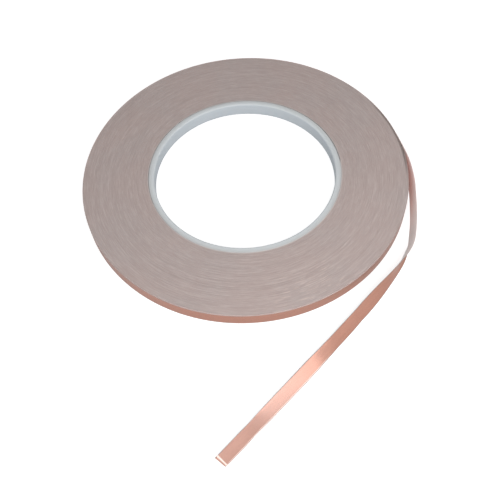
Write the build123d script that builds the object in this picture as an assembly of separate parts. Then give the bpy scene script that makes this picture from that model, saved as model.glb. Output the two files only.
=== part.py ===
"""Copper foil tape roll for stained glass work.

A plastic core ring carries about fifty metres of a three-ply tape, wound on edge: copper foil
outside, an adhesive film, and a paper release liner inside. The last turn ends at a peel line,
where the free tail leaves the roll on edge, leans over, and ends in a hand-cut tip whose foil
peels up from the liner.

Frame: +Z up along the bore, the roll standing on z = 0, the bore's centre at the origin.
Every length is in millimetres and every angle in degrees.
"""
import os
from math import atan2, cos, degrees, hypot, radians, sin, tan

from build123d import *

os.makedirs("parts", exist_ok=True)

# Core: a plain plastic tube for a 3 inch hub, as high as the tape is wide
CORE_BORE_RADIUS = 38.1
CORE_WALL = 2.5
CORE_BORE_ROUNDING = 0.8
CORE_RIM_ROUNDING = 0.3

# Tape: quarter inch wide, three plies bonded face to face
TAPE_WIDTH = 6.35
FOIL = 0.05
ADHESIVE = 0.04
LINER = 0.10

# Roll
ROLL_RADIUS = 68.25
TURN_CLEARANCE = 0.06       # lets the outermost turn travel round the wound pack
OUTER_TURN_SWEEP = 350.0    # the rest is the step just past the peel line

# Tail: the middle of the tape, seen from above, from the peel line to the tip
TAIL_ROUTE = [
    (66.4, 15.4),
    (68.9, 4.7),
    (69.5, -7.5),
    (68.0, -20.0),
    (66.0, -32.0),
    (62.5, -42.5),
    (55.0, -53.0),
    (43.0, -65.2),
    (24.5, -83.5),
    (3.5, -103.5),
    (-15.0, -121.0),
]
ARC_SHARE = 0.45            # of the shorter run, taken up by each arc
# Distance along the tail, and how far its top edge leans in towards the roll there
TAIL_LEAN = [
    (0, 0),
    (6, -2),
    (12, -7),
    (25, -14),
    (45, -18),
    (55, -19),
    (65, 1),
    (75, 17),
    (85, 32),
    (100, 39),
    (125, 36),
    (170, 30),
]
TAIL_LIFT = 0.3             # clearance of the tail's lower edge above the surface
TAIL_LIFT_RUN = 20.0        # over which the tail rises by that much
STATION_STEP = 4.0
PEEL_GAP = 0.3              # between the outermost turn's end and the tail's first edge

# Tip: the last stretch of foil, which peels up from the liner
TIP_LENGTH = 25.0
TIP_GAP = 0.12
CUT_SLANT = 0.9             # the lower corner is cut this much shorter than the upper
LIP_LENGTH = 1.3            # the very end is bent down towards the liner
LIP_BEND = 14.0

TAPE = FOIL + ADHESIVE + LINER
CORE_RADIUS = CORE_BORE_RADIUS + CORE_WALL
PACK_RADIUS = ROLL_RADIUS - TAPE - TURN_CLEARANCE
PEEL_ANGLE = degrees(atan2(TAIL_ROUTE[0][1], TAIL_ROUTE[0][0]))

# Each ply's two faces, measured outwards from the middle of the tape
LINER_PLY = (-TAPE / 2, -TAPE / 2 + LINER)
ADHESIVE_PLY = (LINER_PLY[1], LINER_PLY[1] + ADHESIVE)
FOIL_PLY = (ADHESIVE_PLY[1], TAPE / 2)


def save(solid, name):
    """Write one sub-part under its node's name."""
    solid.label = name
    export_step(solid, f"parts/{name}.step")


def ring(inner, outer):
    """A flat ring as high as the tape is wide."""
    height = (Align.CENTER, Align.CENTER, Align.MIN)
    return Cylinder(outer, TAPE_WIDTH, align=height) - Cylinder(inner, TAPE_WIDTH, align=height)


def core_ring():
    """The plastic core, with soft edges at its bore and finer ones at its rim."""
    core = ring(CORE_BORE_RADIUS, CORE_RADIUS)
    edges = core.edges().filter_by(GeomType.CIRCLE)
    bore_edges = edges.filter_by(lambda edge: edge.radius < CORE_RADIUS - CORE_WALL / 2)
    core = fillet(bore_edges, CORE_BORE_ROUNDING)
    edges = core.edges().filter_by(GeomType.CIRCLE)
    rim_edges = edges.filter_by(lambda edge: edge.radius > CORE_RADIUS - CORE_RIM_ROUNDING / 2)
    return fillet(rim_edges, CORE_RIM_ROUNDING)


def outer_turn_ply(ply):
    """One ply of the outermost turn, anticlockwise from the peel line."""
    middle = ROLL_RADIUS - TAPE / 2
    inner, outer = middle + ply[0], middle + ply[1]
    start, end = radians(PEEL_ANGLE), radians(PEEL_ANGLE + OUTER_TURN_SWEEP)
    half = (start + end) / 2

    def at(radius, angle):
        return (radius * cos(angle), radius * sin(angle))

    outside = ThreePointArc(at(outer, start), at(outer, half), at(outer, end))
    inside = ThreePointArc(at(inner, end), at(inner, half), at(inner, start))
    steps = [Line(at(outer, end), at(inner, end)), Line(at(inner, start), at(outer, start))]
    return extrude(make_face([outside, steps[0], inside, steps[1]]), TAPE_WIDTH)


def route_radii():
    """The largest arc that each inner point of the route leaves room for."""
    radii = []
    for before, here, after in zip(TAIL_ROUTE, TAIL_ROUTE[1:], TAIL_ROUTE[2:]):
        run_in = (here[0] - before[0], here[1] - before[1])
        run_out = (after[0] - here[0], after[1] - here[1])
        shorter = min(hypot(*run_in), hypot(*run_out))
        turn = radians(Vector(*run_in, 0).get_angle(Vector(*run_out, 0)))
        radii.append(ARC_SHARE * shorter / tan(turn / 2))
    return radii


def lean_at(distance):
    """How far the top edge leans in, between the listed leans."""
    for (start, lean), (end, next_lean) in zip(TAIL_LEAN, TAIL_LEAN[1:]):
        if distance <= end:
            return lean + (next_lean - lean) * (distance - start) / (end - start)
    return TAIL_LEAN[-1][1]


def station(path, distance, shift=0.0):
    """The tape's middle, heading, width direction and copper-side normal at a distance."""
    share = distance / path.length
    heading = path.tangent_at(share)
    lean = radians(lean_at(distance))
    inwards = heading.cross(Vector(0, 0, 1))
    across = Vector(0, 0, 1) * cos(lean) + inwards * sin(lean)
    outwards = Vector(0, 0, 1) * sin(lean) - inwards * cos(lean)
    lift = TAIL_LIFT * min(distance / TAIL_LIFT_RUN, 1)
    middle = path.position_at(share) + Vector(0, 0, TAPE_WIDTH / 2 * cos(lean) + lift)
    return middle + outwards * shift, heading, across, outwards


def section(path, distance, ply, slant=0.0, drop=0.0):
    """A ply's outline across the tail: a thin rectangle, slanted where the tape is cut."""
    middle, heading, across, outwards = station(path, distance)
    half = TAPE_WIDTH / 2
    corners = []
    for side, face in ((-half, ply[0]), (half, ply[0]), (half, ply[1]), (-half, ply[1])):
        back = slant * (half - side) / TAPE_WIDTH
        corners.append(middle + across * side + outwards * (face - drop) - heading * back)
    return Wire.make_polygon(corners, close=True)


def places_along(path):
    """Where the tail's sections stand: evenly spaced on each side of the foil's hinge."""
    tip_start = path.length - TIP_LENGTH
    fold = path.length - LIP_LENGTH
    places = []
    for start, end in ((PEEL_GAP, tip_start - TIP_GAP), (tip_start, fold)):
        count = round((end - start) / STATION_STEP)
        places += [start + (end - start) * step / count for step in range(count + 1)]
    return places


def tail_ply(path, ply, places, cut=False):
    """One ply of the tail through its places; a cut end has the slant and the bent lip."""
    sections = [section(path, place, ply) for place in places[:-1]]
    sections.append(section(path, places[-1], ply, slant=CUT_SLANT if cut else 0.0))
    if cut:
        drop = LIP_LENGTH * sin(radians(LIP_BEND))
        sections.append(section(path, path.length, ply, slant=CUT_SLANT, drop=drop))
    return Solid.make_loft(sections, ruled=True)


def main():
    """Build every sub-part and write it."""
    path = FilletPolyline(*TAIL_ROUTE, radius=route_radii())
    tip_start = path.length - TIP_LENGTH
    places = places_along(path)
    tail_places = [place for place in places if place < tip_start]
    tip_places = [place for place in places if place >= tip_start]

    save(core_ring(), "core_ring")
    save(ring(CORE_RADIUS, PACK_RADIUS), "wound_tape")

    plies = {"foil": FOIL_PLY, "adhesive": ADHESIVE_PLY, "liner": LINER_PLY}
    for name, ply in plies.items():
        save(outer_turn_ply(ply), f"outer_turn_{name}")

    save(tail_ply(path, LINER_PLY, places, cut=True), "tail_liner")
    for name in ("foil", "adhesive"):
        save(tail_ply(path, plies[name], tail_places), f"tail_{name}")
        save(tail_ply(path, plies[name], tip_places, cut=True), f"tip_{name}")

    hinge, _, across, _ = station(path, tip_start, shift=TAPE / 2)
    print("route radii", [round(radius, 1) for radius in route_radii()])
    print("tail length", round(path.length, 2))
    print("wound turns", round((PACK_RADIUS - CORE_RADIUS) / TAPE, 1))
    print("peel line", TAIL_ROUTE[0], "at", round(PEEL_ANGLE, 2), "degrees")
    print("foil hinge at", hinge, "along", across)


main()
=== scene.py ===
"""Copper foil tape roll: the visual model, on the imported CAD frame.

Lengths are in millimetres until they reach a mesh, which is in metres. What is in metres from
the start says so. Angles are in degrees.
"""
from math import cos, pi, radians, sin, tan

import bpy
import numpy as np
from mathutils import Euler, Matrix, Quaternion, Vector


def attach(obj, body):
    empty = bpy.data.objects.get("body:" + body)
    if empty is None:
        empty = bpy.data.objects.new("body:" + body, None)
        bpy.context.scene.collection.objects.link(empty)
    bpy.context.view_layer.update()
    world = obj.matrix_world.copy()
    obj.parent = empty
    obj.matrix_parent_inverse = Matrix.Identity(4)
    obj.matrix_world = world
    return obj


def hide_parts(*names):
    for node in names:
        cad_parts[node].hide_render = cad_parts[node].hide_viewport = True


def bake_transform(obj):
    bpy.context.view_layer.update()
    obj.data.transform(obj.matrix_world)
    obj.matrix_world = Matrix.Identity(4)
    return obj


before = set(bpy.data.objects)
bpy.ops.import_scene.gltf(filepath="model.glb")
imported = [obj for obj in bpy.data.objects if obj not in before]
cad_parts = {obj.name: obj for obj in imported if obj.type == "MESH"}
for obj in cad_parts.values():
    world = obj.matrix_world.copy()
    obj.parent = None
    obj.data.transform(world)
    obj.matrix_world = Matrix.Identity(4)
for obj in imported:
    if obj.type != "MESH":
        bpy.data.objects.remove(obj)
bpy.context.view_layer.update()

MM = 0.001
RANDOM = np.random.default_rng(7)

# Sizes shared with the CAD model; each ply's two faces are measured from the tape's middle
CORE_BORE_RADIUS = 38.1
CORE_RADIUS = 40.6
CORE_BORE_ROUNDING = 0.8
CORE_RIM_ROUNDING = 0.3
TAPE_WIDTH = 6.35
TAPE = 0.19
LINER_PLY = (-0.095, 0.005)
ADHESIVE_PLY = (0.005, 0.045)
FOIL_PLY = (0.045, 0.095)
PACK_RADIUS = 68.0
ROLL_RADIUS = 68.25
PEEL_ANGLE = 13.06
OUTER_TURN_SWEEP = 350.0
TIP_LENGTH = 25.0
TAIL_LIFT = 0.3
TAIL_LIFT_RUN = 20.0

# How finely the core is divided round each of its corners and round its bore
CORNER_STEPS = 6
CORE_SIDES = 240

# Wound tape: one spiral, its edges a little uneven in height
TURNS = 144
TURN_STEPS = 160
TURN_FILL = 0.86            # of the pitch; the rest slopes to the next turn
EDGE_PLAY = 0.06            # how far an edge strays up or down at most
EDGE_RISE = 0.04            # how far the lower edge is off the surface on average
# Each unevenness: how many turns apart its knots are, and its size
UNEVENNESS = [(0.45, 0.010), (7.0, 0.016), (1.0, 0.008)]

# Plies: the foil and the adhesive stay back from the liner's edges
FOIL_SETBACK = 0.12
ADHESIVE_SETBACK = 0.16
EDGE_CURL = 0.03            # towards the liner's side
EDGE_EASING = 0.3           # of a ply's thickness, taken off each corner
OUTER_TURN_STATIONS = 361

# Tip: a slanted cut, and a lip bent down towards the liner
TIP_CUT_SLANT = 1.1         # the lower corner is cut this much shorter than the upper
TIP_CUT_RUN = 4.0           # over which the slant comes in
LIP_LENGTH = 1.3
LIP_BEND = 6.0
FOLD_STATIONS = (-0.5, -0.2, 0.0, 0.2, 0.5)
FOLD_MARK = 168.4           # where the fold's painted highlight lies, along the tail
TIP_SPLIT = 4.0             # the tip's foil is a piece of its own from this far before its hinge

# Peel line, where the tail leaves the roll
TAIL_START = 0.02
PATH_POINTS = 120           # on the route along the tail's middle

# Neck: where the tail turns over, the tape is bowed across its width
NECK = 61.0
NECK_RUN = 8.0
NECK_BOW = -1.3
NECK_MIDDLE_SHARE = 0.55    # of the bow, at the tape's middle; its edges go the other way

# Tail: how far apart its sections are, and how far each way its heading is measured
STATION_STEP = 0.7
HEADING_REACH = 1.0

# Flat stretches of the tail: the crease that each starts at, its extra lean, and the crease that
# it ends at. A crease is its place at the tape's middle, how much further along it meets the top
# edge, and how long its bend is. The last stretch runs on past the tip.
FACETS = [
    ((90.0, 0.0, 5.0), -4.0, (108.0, 0.0, 6.0)),
    ((114.2, 0.7, 8.0), 6.0, (144.8, 0.2, 9.0)),
    ((153.0, 0.0, 6.0), 4.5, (200.0, 0.0, 6.0)),
]

# Small waves of the loose tape: each one's height, its length for each radian, and its start
SWELLS = [(0.020, 5.1, 0.7), (0.012, 2.3, 2.0)]
TWISTS = [(0.016, 3.7, 1.1), (0.010, 1.9, 0.0)]
LOOSE_RUN = 15.0            # over which they grow from nothing

# The tail's route in metres: the CAD model's points, with the last one 0.1 mm further out
TAIL_ROUTE = [
    (0.0664, 0.0154),
    (0.0689, 0.0047),
    (0.0695, -0.0075),
    (0.0680, -0.0200),
    (0.0660, -0.0320),
    (0.0625, -0.0425),
    (0.0550, -0.0530),
    (0.0430, -0.0652),
    (0.0245, -0.0835),
    (0.0035, -0.1035),
    (-0.0151, -0.1211),
]
# Distance along the tail, and how far its top edge leans in towards the roll there
TAIL_LEAN = [
    (0, 0), (6, -2), (12, -7), (25, -14), (45, -18), (55, -19),
    (65, 1), (75, 17), (85, 32), (100, 39), (125, 36), (170, 30),
]
# The leans are joined smoothly, each one averaged with its neighbours
LEAN_WINDOW = 29            # samples averaged together
LEAN_SAMPLES = 800          # along the tail and its margins
LEAN_MARGIN = 8.0           # past each end

# Camera and floor, in metres; the lens is in millimetres
CAMERA_DISTANCE = 0.3085
CAMERA_HEIGHT_ANGLE = 51.76
CAMERA_DIP = 57.31          # of its aim, below the horizon
CAMERA_ROLL = -3.92
CAMERA_LENS = 51.65
FLOOR_REACH = 3.0
FLOOR_DROP = 0.00005


# ---------------------------------------------------------------- camera, light and floor

def add_camera():
    """A camera at about 52 degrees, aimed at the near side of the roll and a little tilted."""
    data = bpy.data.cameras.new("camera")
    data.sensor_width = 36.0
    data.lens = CAMERA_LENS
    camera = bpy.data.objects.new("camera", data)
    height_angle = radians(CAMERA_HEIGHT_ANGLE)
    camera.location = (
        0.0,
        -CAMERA_DISTANCE * cos(height_angle),
        CAMERA_DISTANCE * sin(height_angle),
    )
    aim = Euler((radians(90.0 - CAMERA_DIP), 0.0, 0.0)).to_quaternion()
    camera.rotation_mode = "QUATERNION"
    camera.rotation_quaternion = aim @ Quaternion((0.0, 0.0, 1.0), radians(CAMERA_ROLL))
    bpy.context.scene.collection.objects.link(camera)
    bpy.context.scene.camera = camera


def add_area(name, place, target, size, power, mirrored):
    """A rectangular soft light aimed at a target, seen in glossy reflections if mirrored."""
    data = bpy.data.lights.new(name, "AREA")
    data.shape = "RECTANGLE"
    data.size, data.size_y = size
    data.energy = power
    light = bpy.data.objects.new(name, data)
    light.visible_glossy = mirrored
    light.location = place
    light.rotation_mode = "QUATERNION"
    light.rotation_quaternion = (Vector(target) - Vector(place)).to_track_quat("-Z", "Y")
    bpy.context.scene.collection.objects.link(light)


def add_world(overhead, horizon):
    """A plain white surround, brighter low down than overhead."""
    world = bpy.data.worlds.new("surround")
    world.use_nodes = True
    nodes, links = world.node_tree.nodes, world.node_tree.links
    direction = nodes.new("ShaderNodeTexCoord")
    split = nodes.new("ShaderNodeSeparateXYZ")
    fade = nodes.new("ShaderNodeMapRange")
    fade.interpolation_type = "SMOOTHSTEP"
    fade.inputs["From Min"].default_value = 0.0
    fade.inputs["From Max"].default_value = 0.45
    fade.inputs["To Min"].default_value = horizon
    fade.inputs["To Max"].default_value = overhead
    links.new(direction.outputs["Generated"], split.inputs[0])
    links.new(split.outputs["Z"], fade.inputs["Value"])
    background = nodes["Background"]
    background.inputs["Color"].default_value = (0.98, 0.99, 1.0, 1.0)
    links.new(fade.outputs["Result"], background.inputs["Strength"])
    bpy.context.scene.world = world


def add_floor():
    """A plain pale floor just under the roll, which glows a little to the camera only."""
    corners = [(-1, -1), (1, -1), (1, 1), (-1, 1)]
    mesh = bpy.data.meshes.new("floor")
    points = [(x * FLOOR_REACH, y * FLOOR_REACH, -FLOOR_DROP) for x, y in corners]
    mesh.from_pydata(points, [], [(0, 1, 2, 3)])
    floor = bpy.data.objects.new("floor", mesh)
    bpy.context.scene.collection.objects.link(floor)
    shader = Shader("floor_white")
    tone = shader.noise(shader.position(), scale=3.0, detail=2.0)
    colour = shader.mix(tone, (0.57, 0.57, 0.57), (0.59, 0.59, 0.59))
    seen = shader.node("LightPath").outputs["Is Camera Ray"]
    glow = shader.times(seen, 0.7)
    shader.surface(colour, roughness=0.9, Emission_Color=(1.0, 1.0, 1.0), Emission_Strength=glow)
    floor.data.materials.append(shader.material)


# ---------------------------------------------------------------- shader nodes

class Shader:
    """A node material, built up a node at a time."""

    def __init__(self, name):
        self.material = bpy.data.materials.new(name)
        self.material.use_nodes = True
        self.tree = self.material.node_tree
        self.principled = self.tree.nodes["Principled BSDF"]

    def node(self, kind, inputs=None, **settings):
        """Add a node, set its properties, then its inputs to values or other nodes' outputs."""
        made = self.tree.nodes.new("ShaderNode" + kind)
        for name, value in settings.items():
            setattr(made, name, value)
        for key, value in (inputs or {}).items():
            self.put(value, made.inputs[key])
        return made

    def put(self, value, socket):
        """Set a socket, or link another node's output to it."""
        if isinstance(value, bpy.types.NodeSocket):
            self.tree.links.new(value, socket)
        elif isinstance(value, tuple) and len(value) == 3 and socket.type == "RGBA":
            socket.default_value = (*value, 1.0)
        else:
            socket.default_value = value

    def position(self):
        """The place on the object."""
        return self.node("TexCoord").outputs["Object"]

    def attribute(self, name):
        """A number that the mesh's points carry."""
        return self.node("Attribute", attribute_name=name).outputs["Fac"]

    def math(self, operation, first, second=0.0):
        """One step of arithmetic."""
        return self.node("Math", {0: first, 1: second}, operation=operation).outputs[0]

    def times(self, first, second):
        """One number times another."""
        return self.math("MULTIPLY", first, second)

    def unsigned(self, value):
        """A number without its sign."""
        return self.math("ABSOLUTE", value)

    def vector(self, x, y, z=0.0):
        """Three numbers as one place."""
        return self.node("CombineXYZ", {0: x, 1: y, 2: z}).outputs[0]

    def on_vector(self, operation, first, second=(0.0, 0.0, 0.0)):
        """One step on places or directions."""
        return self.node("VectorMath", {0: first, 1: second}, operation=operation).outputs

    def on_tape(self, along, across):
        """The place on the tape, scaled along it and across it to stretch a noise."""
        return self.vector(
            self.times(self.attribute("along"), along),
            self.times(self.attribute("across"), across),
        )

    def from_axis(self, place):
        """The part of a place that points away from the roll's axis."""
        return self.on_vector("MULTIPLY", place, (1.0, 1.0, 0.0))[0]

    def noise(self, vector, scale, detail, roughness=0.5):
        """Soft random variation, finer with scale and rougher with detail."""
        inputs = {"Vector": vector, "Scale": scale, "Detail": detail, "Roughness": roughness}
        return self.node("TexNoise", inputs).outputs["Fac"]

    def spread(self, value, low, high, to_low=0.0, to_high=1.0):
        """Remap a value smoothly from one span to another."""
        inputs = {
            "Value": value, "From Min": low, "From Max": high, "To Min": to_low, "To Max": to_high,
        }
        return self.node("MapRange", inputs, interpolation_type="SMOOTHSTEP").outputs["Result"]

    def mix(self, share, first, second):
        """The first colour where the share is 0, the second where it is 1."""
        inputs = {0: share, 6: first, 7: second}
        return self.node("Mix", inputs, data_type="RGBA").outputs[2]

    def tint(self, colour, where, strength, tone):
        """Lay a tone over a colour where a mask says, as strongly as asked."""
        return self.mix(self.times(where, strength), colour, tone)

    def bump(self, height, strength, distance):
        """A normal that follows a height; the distance is in metres."""
        inputs = {"Height": height, "Strength": strength, "Distance": distance}
        return self.node("Bump", inputs).outputs["Normal"]

    def surface(self, colour, roughness, normal=None, **constants):
        """Feed the surface's colour, roughness and normal, and set its other inputs."""
        self.put(colour, self.principled.inputs["Base Color"])
        self.put(roughness, self.principled.inputs["Roughness"])
        if normal is not None:
            self.put(normal, self.principled.inputs["Normal"])
        for name, value in constants.items():
            self.put(value, self.principled.inputs[name.replace("_", " ")])


# ---------------------------------------------------------------- materials

# Places are in metres. The mesh's own numbers are along, in millimetres from the peel line and
# negative on the roll; across, from -1 at the tape's lower edge to 1 at its upper; and, on the
# wound tape, turn, counted outwards, with across from 0 at a turn's inner side to 1 at its outer.

def core_plastic():
    """Pale, slightly cool moulded plastic, faintly scuffed; painted lighter on top, with painted
    shade on its bore's wall and at its rim.
    """
    shader = Shader("core_plastic")
    place = shader.position()
    cloud = shader.noise(place, scale=60.0, detail=3.0)
    # Painted light and shade: a lighter top and a darker bore wall, lit and shaded copies of one
    # plastic
    wall = shader.mix(cloud, (0.500, 0.540, 0.575), (0.540, 0.575, 0.605))
    top = shader.mix(cloud, (0.580, 0.607, 0.620), (0.615, 0.638, 0.648))
    height = shader.node("SeparateXYZ", {0: place}).outputs[2]
    colour = shader.mix(shader.spread(height, 0.0056, 0.0062), wall, top)
    radius = shader.on_vector("LENGTH", shader.from_axis(place))["Value"]
    # Painted shade: the rim beside the tape is painted darker grey
    rim_mask = shader.spread(radius, 0.0388, 0.0408)
    colour = shader.tint(colour, rim_mask, 0.8, (0.475, 0.475, 0.47))
    scuffs = shader.noise(place, scale=240.0, detail=5.0, roughness=0.7)
    colour = shader.tint(colour, shader.spread(scuffs, 0.60, 0.72), 0.35, (0.50, 0.53, 0.54))
    roughness = shader.spread(cloud, 0.3, 0.7, 0.55, 0.65)
    grain = shader.noise(place, scale=900.0, detail=2.0)
    shader.surface(
        colour, roughness, shader.bump(grain, 0.25, 0.00004),
        Subsurface_Weight=0.15, Subsurface_Radius=(0.002, 0.002, 0.002), IOR=1.49,
    )
    return shader.material


def wound_edges():
    """The wound tape's edges: pinkish paper, a copper line in every turn, dashes, and painted
    glints, light and shade.
    """
    shader = Shader("wound_edges")
    turn = shader.attribute("turn")
    across = shader.attribute("across")
    place = shader.position()
    around = shader.on_vector("NORMALIZE", shader.from_axis(place))[0]
    east, north, _ = shader.node("SeparateXYZ", {0: around}).outputs

    def streaks(arcs, turns, detail):
        """Noise stretched into arcs: slow around the roll, quick from turn to turn."""
        vector = shader.vector(
            shader.times(east, arcs),
            shader.times(north, arcs),
            shader.times(turn, turns),
        )
        return shader.noise(vector, scale=1.0, detail=detail, roughness=0.6)

    def facing(direction, low, high):
        """A mask for the side of the roll that lies in a direction."""
        agreement = shader.on_vector("DOT_PRODUCT", around, direction)["Value"]
        return shader.spread(agreement, low, high)

    # Paper: broad bands, then light and dark dashes and hairs
    dashes = streaks(3.4, 0.36, 3.0)
    hairs = streaks(9.0, 1.9, 2.0)
    bands = streaks(1.2, 0.07, 3.0)
    mottle = shader.noise(place, scale=55.0, detail=4.0)
    colour = shader.mix(bands, (0.388, 0.334, 0.322), (0.438, 0.380, 0.370))
    colour = shader.mix(shader.spread(mottle, 0.35, 0.65), colour, (0.425, 0.355, 0.340))
    colour = shader.tint(colour, shader.spread(dashes, 0.52, 0.72), 0.24, (0.57, 0.51, 0.495))
    colour = shader.tint(colour, shader.spread(dashes, 0.48, 0.28), 0.15, (0.30, 0.24, 0.225))
    colour = shader.tint(colour, shader.spread(hairs, 0.50, 0.66), 0.28, (0.63, 0.575, 0.56))
    colour = shader.tint(colour, shader.spread(hairs, 0.50, 0.34), 0.20, (0.27, 0.215, 0.20))

    # Painted glints at the front right, the foil in each turn, painted light on the innermost
    # turns, painted shade by the peel line
    front_right = facing((0.35, -0.937, 0.0), 0.95, 0.99)
    glinting = shader.times(front_right, shader.spread(turn, 50.0, 90.0))
    glints = shader.times(shader.spread(streaks(12.0, 0.65, 1.0), 0.58, 0.68), glinting)
    colour = shader.tint(colour, glints, 0.45, (0.68, 0.57, 0.52))
    foil = shader.spread(across, 0.70, 0.78)
    colour = shader.tint(colour, foil, 0.45, (0.46, 0.27, 0.20))
    # Painted light: the innermost turns are lightened against the shade at the core's rim
    innermost_light = shader.spread(turn, 2.5, 0.5)
    colour = shader.tint(colour, innermost_light, 0.6, (0.60, 0.55, 0.53))
    # Painted shade: the outermost turns darkened by the peel line
    near_peel = facing((0.978, 0.208, 0.0), 0.93, 0.985)
    peel_gap_shade = shader.times(shader.spread(turn, 139.5, 142.3), near_peel)
    colour = shader.tint(colour, peel_gap_shade, 0.75, (0.17, 0.135, 0.12))

    roughness = shader.spread(dashes, 0.3, 0.7, 0.62, 0.8)
    fuzz = shader.noise(place, scale=2600.0, detail=2.0)
    shader.surface(colour, roughness, shader.bump(fuzz, 0.3, 0.00003), IOR=1.42)
    return shader.material


def rolled_copper():
    """Copper foil: fine rolling marks along it, soft blotches, edges darkened by tarnish and
    painted shade, and painted highlights.
    """
    shader = Shader("copper")
    along = shader.attribute("along")
    across = shader.attribute("across")
    marks = shader.noise(shader.on_tape(0.10, 14.0), scale=1.0, detail=4.0)
    blotch = shader.noise(shader.on_tape(0.30, 0.9), scale=1.0, detail=3.0)
    colour = shader.mix(blotch, (0.77, 0.372, 0.272), (0.70, 0.332, 0.240))
    # On the roll it is brighter; beside the tail it is painted lighter still, painted light where
    # the tail shades the band
    wound = shader.spread(along, 0.0, -25.0)
    colour = shader.tint(colour, wound, 0.5, (0.84, 0.420, 0.310))
    painted_light_beside_tail = shader.spread(along, -325.0, -350.0)
    colour = shader.tint(colour, painted_light_beside_tail, 0.8, (0.95, 0.465, 0.335))
    colour = shader.tint(colour, shader.spread(marks, 0.35, 0.65), 0.20, (0.92, 0.55, 0.43))

    # Slit edges: darker, partly tarnish and partly painted shade; a pale strip along the top of
    # the roll; painted shade at the peel line
    edge_tarnish_and_shade = shader.spread(shader.unsigned(across), 0.88, 0.95)
    colour = shader.tint(colour, edge_tarnish_and_shade, 0.7, (0.40, 0.30, 0.26))
    # The top strip on the roll: pale and dull, painted lighter beside the tail as a highlight on
    # its edge
    rim_mask = shader.times(shader.spread(across, 0.80, 0.87), wound)
    rim_colour = shader.mix(painted_light_beside_tail, (0.47, 0.375, 0.35), (0.54, 0.43, 0.41))
    colour = shader.mix(rim_mask, colour, rim_colour)
    # Painted shade in the gap where the tail leaves the roll
    near_peel = shader.spread(shader.unsigned(along), 20.0, 6.0)
    dark = shader.times(shader.spread(across, 0.80, 0.97), near_peel)
    colour = shader.tint(colour, dark, 0.7, (0.20, 0.15, 0.13))

    # Towards the tip: paler, with painted highlights along the lower edge and at the fold
    paler_to_tip = shader.times(
        shader.spread(along, 103.0, 145.0),
        shader.spread(along, 144.0, 156.0, 1.0, 0.7),
    )
    colour = shader.tint(colour, paler_to_tip, 0.65, (0.90, 0.575, 0.495))
    # Painted highlight: a pale line along the lower edge from 108 mm on
    edge_line = shader.times(
        shader.spread(across, -0.80, -0.85),
        shader.spread(across, -0.93, -0.89),
    )
    edge_highlight = shader.times(edge_line, shader.spread(along, 108.0, 120.0))
    # Painted highlight along the fold
    fold = shader.spread(shader.unsigned(shader.math("SUBTRACT", along, FOLD_MARK)), 0.42, 0.25)
    bright = shader.math("MAXIMUM", shader.times(fold, 0.75), shader.times(edge_highlight, 0.7))
    colour = shader.mix(bright, colour, (1.0, 0.88, 0.80))
    lip_end = FOLD_MARK + LIP_LENGTH
    # Painted shade along the cut end
    cut = shader.spread(along, lip_end - 0.45, lip_end - 0.1)
    colour = shader.tint(colour, cut, 0.8, (0.30, 0.24, 0.20))

    roughness = shader.spread(marks, 0.3, 0.7, 0.17, 0.25)
    # Less metallic where the highlights are painted and along the top strip
    dulled = shader.times(shader.math("MAXIMUM", bright, rim_mask), 0.8)
    metal = shader.math("SUBTRACT", 1.0, dulled)
    normal = shader.bump(marks, 0.10, 0.00003)
    shader.surface(
        colour, roughness, normal, Metallic=metal, Coat_Weight=0.4, Coat_Roughness=0.3,
    )
    return shader.material


def liner_paper():
    """Smooth release paper with faint fibres: painted light and a painted copper reflection near
    the roll, greyer further out.
    """
    shader = Shader("liner_paper")
    along = shader.attribute("along")
    across = shader.attribute("across")
    vector = shader.on_tape(0.4, 2.0)
    fibres = shader.noise(vector, scale=3.0, detail=5.0, roughness=0.65)
    tone = shader.noise(vector, scale=0.3, detail=2.0)
    colour = shader.mix(tone, (0.90, 0.79, 0.75), (0.93, 0.85, 0.82))
    colour = shader.tint(colour, shader.spread(fibres, 0.4, 0.7), 0.25, (0.96, 0.90, 0.87))
    # Painted reflection: the roll's copper tints the paper near the roll
    copper_reflection = shader.spread(along, 52.0, 15.0)
    colour = shader.tint(colour, copper_reflection, 0.8, (0.96, 0.68, 0.625))
    # Painted light: lighter near the roll against the shade in the gap, greyer further out
    far = shader.spread(along, 42.0, 58.0)
    colour = shader.tint(colour, far, 0.8, (0.69, 0.61, 0.58))
    free = shader.spread(along, 60.0, 78.0)
    colour = shader.tint(colour, free, 0.9, (0.47, 0.42, 0.40))
    wound = shader.spread(along, 4.0, -4.0)
    edge = shader.times(shader.spread(shader.unsigned(across), 0.95, 0.99), wound)
    colour = shader.tint(colour, edge, 0.8, (0.44, 0.375, 0.36))
    roughness = shader.spread(fibres, 0.3, 0.7, 0.38, 0.5)
    normal = shader.bump(fibres, 0.15, 0.00002)
    shader.surface(colour, roughness, normal, IOR=1.46, Sheen_Weight=0.7)
    return shader.material


def adhesive_film():
    """A thin amber film, glossy and slightly uneven."""
    shader = Shader("adhesive_film")
    ripple = shader.noise(shader.on_tape(0.6, 2.0), scale=2.0, detail=3.0)
    colour = shader.mix(ripple, (0.40, 0.31, 0.23), (0.48, 0.38, 0.29))
    roughness = shader.spread(ripple, 0.3, 0.7, 0.18, 0.32)
    normal = shader.bump(ripple, 0.3, 0.00003)
    shader.surface(colour, roughness, normal, Coat_Weight=0.4, IOR=1.48)
    return shader.material


# ---------------------------------------------------------------- meshes

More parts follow.
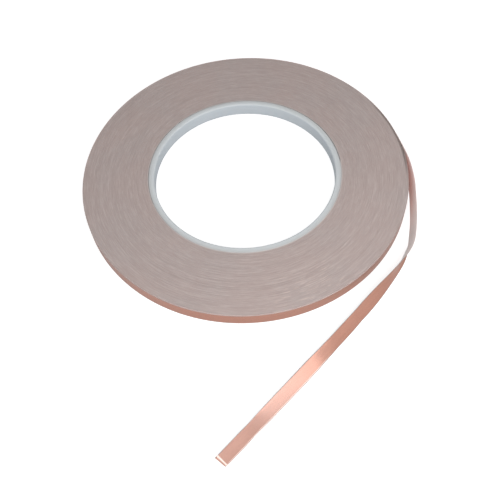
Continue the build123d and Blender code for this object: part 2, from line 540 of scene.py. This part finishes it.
def finish_mesh(name, points, faces, attributes, look, sharp):
    """Make an object in metres with its point attributes, its look and smooth shading."""
    mesh = bpy.data.meshes.new(name)
    mesh.from_pydata((np.asarray(points) * MM).tolist(), [], faces)
    for key, values in attributes.items():
        layer = mesh.attributes.new(key, "FLOAT", "POINT")
        layer.data.foreach_set("value", np.asarray(values, dtype=np.float32).ravel())
    mesh.materials.append(look)
    mesh.shade_smooth()
    mesh.set_sharp_from_angle(angle=radians(sharp))
    mesh.validate()
    piece = bpy.data.objects.new(name, mesh)
    bpy.context.scene.collection.objects.link(piece)
    return piece


def loft(name, sections, attributes, look, closed=False):
    """A closed solid through a row of sections with the same number of points."""
    sections = np.asarray(sections)
    count, size = sections.shape[:2]
    faces = []
    for row in range(count if closed else count - 1):
        here, there = row * size, (row + 1) % count * size
        for step in range(size):
            beside = (step + 1) % size
            faces.append((here + step, there + step, there + beside, here + beside))
    if not closed:
        faces.append(tuple(range(size)))
        faces.append(tuple(reversed(range((count - 1) * size, count * size))))
    return finish_mesh(name, sections.reshape(-1, 3), faces, attributes, look, sharp=35.0)


def core_profile():
    """The core's section as radius and height: round at the bore's edges, crisper at the rim."""
    corners = [
        (CORE_BORE_RADIUS, 0.0, CORE_BORE_ROUNDING, 180.0),
        (CORE_RADIUS, 0.0, CORE_RIM_ROUNDING, 270.0),
        (CORE_RADIUS, TAPE_WIDTH, CORE_RIM_ROUNDING, 0.0),
        (CORE_BORE_RADIUS, TAPE_WIDTH, CORE_BORE_ROUNDING, 90.0),
    ]
    points = []
    for radius, height, rounding, start in corners:
        arc_radius = radius + (rounding if radius == CORE_BORE_RADIUS else -rounding)
        arc_height = height + (rounding if height == 0.0 else -rounding)
        for step in range(CORNER_STEPS + 1):
            angle = radians(start + 90.0 * step / CORNER_STEPS)
            points.append((arc_radius + rounding * cos(angle), arc_height + rounding * sin(angle)))
    return points


def make_core(look):
    """The moulded core ring."""
    profile = core_profile()
    angles = np.linspace(0.0, 2 * pi, CORE_SIDES, endpoint=False)
    sections = [
        [(radius * cos(angle), radius * sin(angle), height) for radius, height in profile]
        for angle in angles
    ]
    return loft("core", sections, {}, look, closed=True)


def smooth_step(share):
    """From 0 to 1, easing at both ends."""
    share = np.clip(share, 0.0, 1.0)
    return share * share * (3 - 2 * share)


def wander(length, step, size):
    """A smooth seeded random line over a length, with a knot at every step."""
    knots = RANDOM.normal(0.0, size, int(np.max(length) / step) + 3)
    place = np.asarray(length) / step
    whole = place.astype(int)
    share = smooth_step(place - whole)
    return knots[whole] * (1 - share) + knots[whole + 1] * share


def make_wound_tape(look):
    """Every wound turn, as one spiral; the outermost is thicker, to reach the pack's radius."""
    pitch = (PACK_RADIUS - CORE_RADIUS) / (TURNS + 1)
    last = TURNS * TURN_STEPS
    winding = np.arange(last + 1) / TURN_STEPS
    angle = radians(PEEL_ANGLE + OUTER_TURN_SWEEP) - 2 * pi * (winding - TURNS)
    inner = CORE_RADIUS + pitch * winding
    outer = inner + pitch * TURN_FILL
    outer[-TURN_STEPS:] = PACK_RADIUS
    shift = sum(wander(winding, step, size) for step, size in UNEVENNESS)
    top = TAPE_WIDTH - EDGE_PLAY + np.clip(shift, -EDGE_PLAY, EDGE_PLAY)
    bottom = np.clip(EDGE_RISE + shift, 0.0, 2 * EDGE_PLAY)
    points = np.empty((last + 1, 4, 3))
    corners = [(inner, top), (outer, top), (outer, bottom), (inner, bottom)]
    for corner, (radius, height) in enumerate(corners):
        points[:, corner] = np.stack([radius * np.cos(angle), radius * np.sin(angle), height], 1)

    def strip(first, end, a, b, ahead=0):
        """Quads between corner a of a run of stations and corner b of the stations ahead."""
        here = np.arange(first, end) * 4
        there = here + ahead * 4
        return np.stack([here + a, here + 4 + a, there + 4 + b, there + b], 1).tolist()

    def turned(quads):
        """The same quads, facing the other way."""
        return [quad[::-1] for quad in quads]

    inside = last - TURN_STEPS
    # Each turn's top and underside, then the slopes from it to the next turn
    faces = strip(0, last, 0, 1) + strip(0, last, 2, 3)
    faces += strip(0, inside, 1, 0, TURN_STEPS)
    faces += turned(strip(0, inside, 2, 3, TURN_STEPS))
    # The innermost turn's inner side and the outermost turn's outer side
    faces += turned(strip(0, TURN_STEPS, 0, 3))
    faces += strip(inside, last, 1, 2)
    # The tape's first and last ends, and the slope beside each
    beside = TURN_STEPS * 4
    faces += [[0, 1, 2, 3], [1, beside, beside + 3, 2]]
    end, beside = last * 4, inside * 4
    faces += turned([[end, end + 1, end + 2, end + 3], [beside + 1, end, end + 3, beside + 2]])
    attributes = {
        "turn": np.repeat(winding, 4),
        "across": np.tile([0.0, 1.0, 1.0, 0.0], last + 1),
    }
    return finish_mesh("wound_edges", points.reshape(-1, 3), faces, attributes, look, sharp=20.0)


def ply_outline(ply, half):
    """A ply's section: across the tape and outwards, its edges eased and curled in a little."""
    sides = np.array([-1.0, -0.985, -0.95, -0.8, -0.5, 0.0, 0.5, 0.8, 0.95, 0.985, 1.0])
    curl = -EDGE_CURL * sides ** 6
    ease = np.zeros(len(sides))
    ease[[0, -1]] = (ply[1] - ply[0]) * EDGE_EASING
    under = [(side * half, ply[0] + turn + eased) for side, turn, eased in zip(sides, curl, ease)]
    over = [(side * half, ply[1] + turn - eased) for side, turn, eased in zip(sides, curl, ease)]
    return np.array(under + over[::-1])


def outer_turn_rise(angles):
    """How far the outermost turn rides up and down round the roll."""
    return 0.015 * np.sin(2 * angles + 0.6) + 0.010 * np.sin(5 * angles + 2.1)


def make_outer_turn(name, ply, half, look):
    """One ply of the outermost turn, laid out clockwise up to the peel line."""
    outline = ply_outline(ply, half)
    middle = ROLL_RADIUS - TAPE / 2
    sweep = np.linspace(PEEL_ANGLE + OUTER_TURN_SWEEP, PEEL_ANGLE, OUTER_TURN_STATIONS)
    angles = np.radians(sweep)
    heights = TAPE_WIDTH / 2 + outer_turn_rise(angles)
    radius = middle + outline[:, 1]
    sections = [
        np.stack([radius * cos(angle), radius * sin(angle), height + outline[:, 0]], 1)
        for angle, height in zip(angles, heights)
    ]
    attributes = {
        "along": np.repeat((angles[-1] - angles) * middle, len(outline)),
        "across": np.tile(outline[:, 0] / half, len(angles)),
    }
    return loft(name, sections, attributes, look)


class Tail:
    """The tail's middle line and how the tape stands along it."""

    def __init__(self):
        self.line = self.read_route()
        runs = np.linalg.norm(np.diff(self.line, axis=0), axis=1)
        self.distance = np.concatenate([[0.0], np.cumsum(runs)])
        self.length = self.distance[-1]
        self.fold = self.length - LIP_LENGTH

    def read_route(self):
        """Points along the route's smooth spline, in millimetres."""
        data = bpy.data.curves.new("tail_route", "CURVE")
        data.dimensions = "3D"
        data.resolution_u = 40
        spline = data.splines.new("NURBS")
        spline.points.add(len(TAIL_ROUTE) - 1)
        for point, (x, y) in zip(spline.points, TAIL_ROUTE):
            point.co = (x, y, 0.0, 1.0)
        spline.order_u = 3
        spline.use_endpoint_u = True
        route = bpy.data.objects.new("tail_route", data)
        mesh = bpy.data.meshes.new_from_object(route)
        line = np.array([vertex.co for vertex in mesh.vertices]) / MM
        bpy.data.objects.remove(route)
        bpy.data.meshes.remove(mesh)
        return line

    def on_line(self, distances):
        """The route's points at each distance."""
        axes = [np.interp(distances, self.distance, self.line[:, axis]) for axis in range(3)]
        return np.stack(axes, 1)

    def lean(self, distances):
        """The listed leans, joined smoothly."""
        places, leans = np.array(TAIL_LEAN, dtype=float).T
        fine = np.linspace(-LEAN_MARGIN, self.length + LEAN_MARGIN, LEAN_SAMPLES)
        rough = np.pad(np.interp(fine, places, leans), LEAN_WINDOW // 2, mode="edge")
        window = np.hanning(LEAN_WINDOW)
        smooth = np.convolve(rough, window / window.sum(), mode="valid")
        return np.interp(distances, fine, smooth)

    def stations(self, distances):
        """Middle, heading, width direction and copper-side normal at each distance."""
        distances = np.asarray(distances)
        ahead = self.on_line(np.minimum(distances + HEADING_REACH, self.length))
        behind = self.on_line(np.maximum(distances - HEADING_REACH, 0.0))
        heading = ahead - behind
        heading /= np.linalg.norm(heading, axis=1, keepdims=True)
        lean = np.radians(self.lean(distances))[:, None]
        up = np.array([0.0, 0.0, 1.0])
        inwards = np.cross(heading, up)
        across = up * np.cos(lean) + inwards * np.sin(lean)
        outwards = up * np.sin(lean) - inwards * np.cos(lean)
        lift = TAIL_LIFT * np.minimum(distances / TAIL_LIFT_RUN, 1.0)
        middle = self.on_line(distances)
        middle[:, 2] = TAPE_WIDTH / 2 * np.cos(lean[:, 0]) + lift
        return middle, heading, across, outwards

    def bow(self, place, side):
        """How far the tape is bowed across its width where it turns over."""
        near = np.exp(-((place - NECK) / NECK_RUN) ** 2)
        return NECK_BOW * near * (NECK_MIDDLE_SHARE - side * side)

    def waviness(self, place, side):
        """Small unevenness of the loose tape, the same in every ply."""
        swell = sum(size * sin(place / length + start) for size, length, start in SWELLS)
        twist = sum(size * sin(place / length + start) for size, length, start in TWISTS)
        loose = min(place / LOOSE_RUN, 1.0) * (swell + twist * side)
        for first, lean, second in FACETS:
            risen, fallen = [
                smooth_step((place - crease - slant * side) / run)
                for crease, slant, run in (first, second)
            ]
            loose = loose - (risen - fallen) * tan(radians(lean)) * TAPE_WIDTH / 2 * side
        return loose

    def ply(self, name, ply, half, look, start, end):
        """One ply of the tail between two distances; at the tip it is cut and bent."""
        distances = np.linspace(start, end, int((end - start) / STATION_STEP) + 2)
        if end > self.fold:
            extra = [self.fold + offset for offset in FOLD_STATIONS]
            distances = np.unique(np.concatenate([distances, extra]))
        outline = ply_outline(ply, half)
        side = outline[:, :1]
        sections = []
        for place, centre, along, wide, out in zip(distances, *self.stations(distances)):
            near_end = max(0.0, 1.0 - (self.length - place) / TIP_CUT_RUN)
            back = TIP_CUT_SLANT * near_end * (TAPE_WIDTH / 2 - side) / TAPE_WIDTH
            drop = max(0.0, place - self.fold) * sin(radians(LIP_BEND))
            wave = self.waviness(place, side / half) + self.bow(place, side / half)
            raised = outline[:, 1:] - drop + wave
            sections.append(centre + wide * side + out * raised - along * back)
        attributes = {
            "along": np.repeat(distances, len(outline)),
            "across": np.tile(outline[:, 0] / half, len(distances)),
        }
        return loft(name, sections, attributes, look)


# ---------------------------------------------------------------- the object

def build():
    """Make every piece; tie the core, the wound tape and the outer turn's plies to their bodies.
    """
    core = make_core(core_plastic())
    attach(core, "roll")
    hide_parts("core_ring")

    pack = make_wound_tape(wound_edges())
    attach(pack, "roll")
    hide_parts("wound_tape")

    half = TAPE_WIDTH / 2
    plies = [
        ("foil", FOIL_PLY, half - FOIL_SETBACK, rolled_copper(), "copper_foil"),
        ("adhesive", ADHESIVE_PLY, half - ADHESIVE_SETBACK, adhesive_film(), "adhesive"),
        ("liner", LINER_PLY, half, liner_paper(), "liner"),
    ]
    for name, ply, width, look, slot in plies:
        band = make_outer_turn(f"band_{name}", ply, width, look)
        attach(band, "outer_turn")
        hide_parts(f"outer_turn_{name}")

    tail = Tail()
    hinge = tail.length - TIP_LENGTH
    split = hinge - TIP_SPLIT
    middle, heading, _, _ = tail.stations([0.0, hinge])
    with_pieces = []
    for name, ply, width, look, slot in plies:
        end = tail.length if name == "liner" else split
        free = tail.ply(f"free_{name}", ply, width, look, TAIL_START, end)
        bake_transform(free)
        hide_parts(f"tail_{name}")
        if name == "liner":
            continue
        tip = tail.ply(f"peel_{name}", ply, width, look, split, tail.length)
        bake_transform(tip)
        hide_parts(f"tip_{name}")
        with_pieces += [free, tip]

    places = np.linspace(0.0, tail.length, PATH_POINTS)
    path = [tuple(point) for point in tail.stations(places)[0] * MM]


add_camera()
add_world(overhead=0.56, horizon=0.94)
add_floor()
# Each light: its place, target and size in metres, then its power in watts
add_area("key", (0.09, -0.22, 0.15), (0.0, -0.06, 0.0), (0.24, 0.18), 0.43, mirrored=False)
add_area("fill", (-0.16, -0.36, 0.34), (0.05, 0.0, 0.0), (0.36, 0.30), 0.40, mirrored=False)
add_area("strip", (0.46, -0.34, 0.11), (0.0, -0.10, 0.0), (0.16, 0.14), 0.050, mirrored=True)
bpy.context.scene.view_settings.view_transform = "Standard"
build()
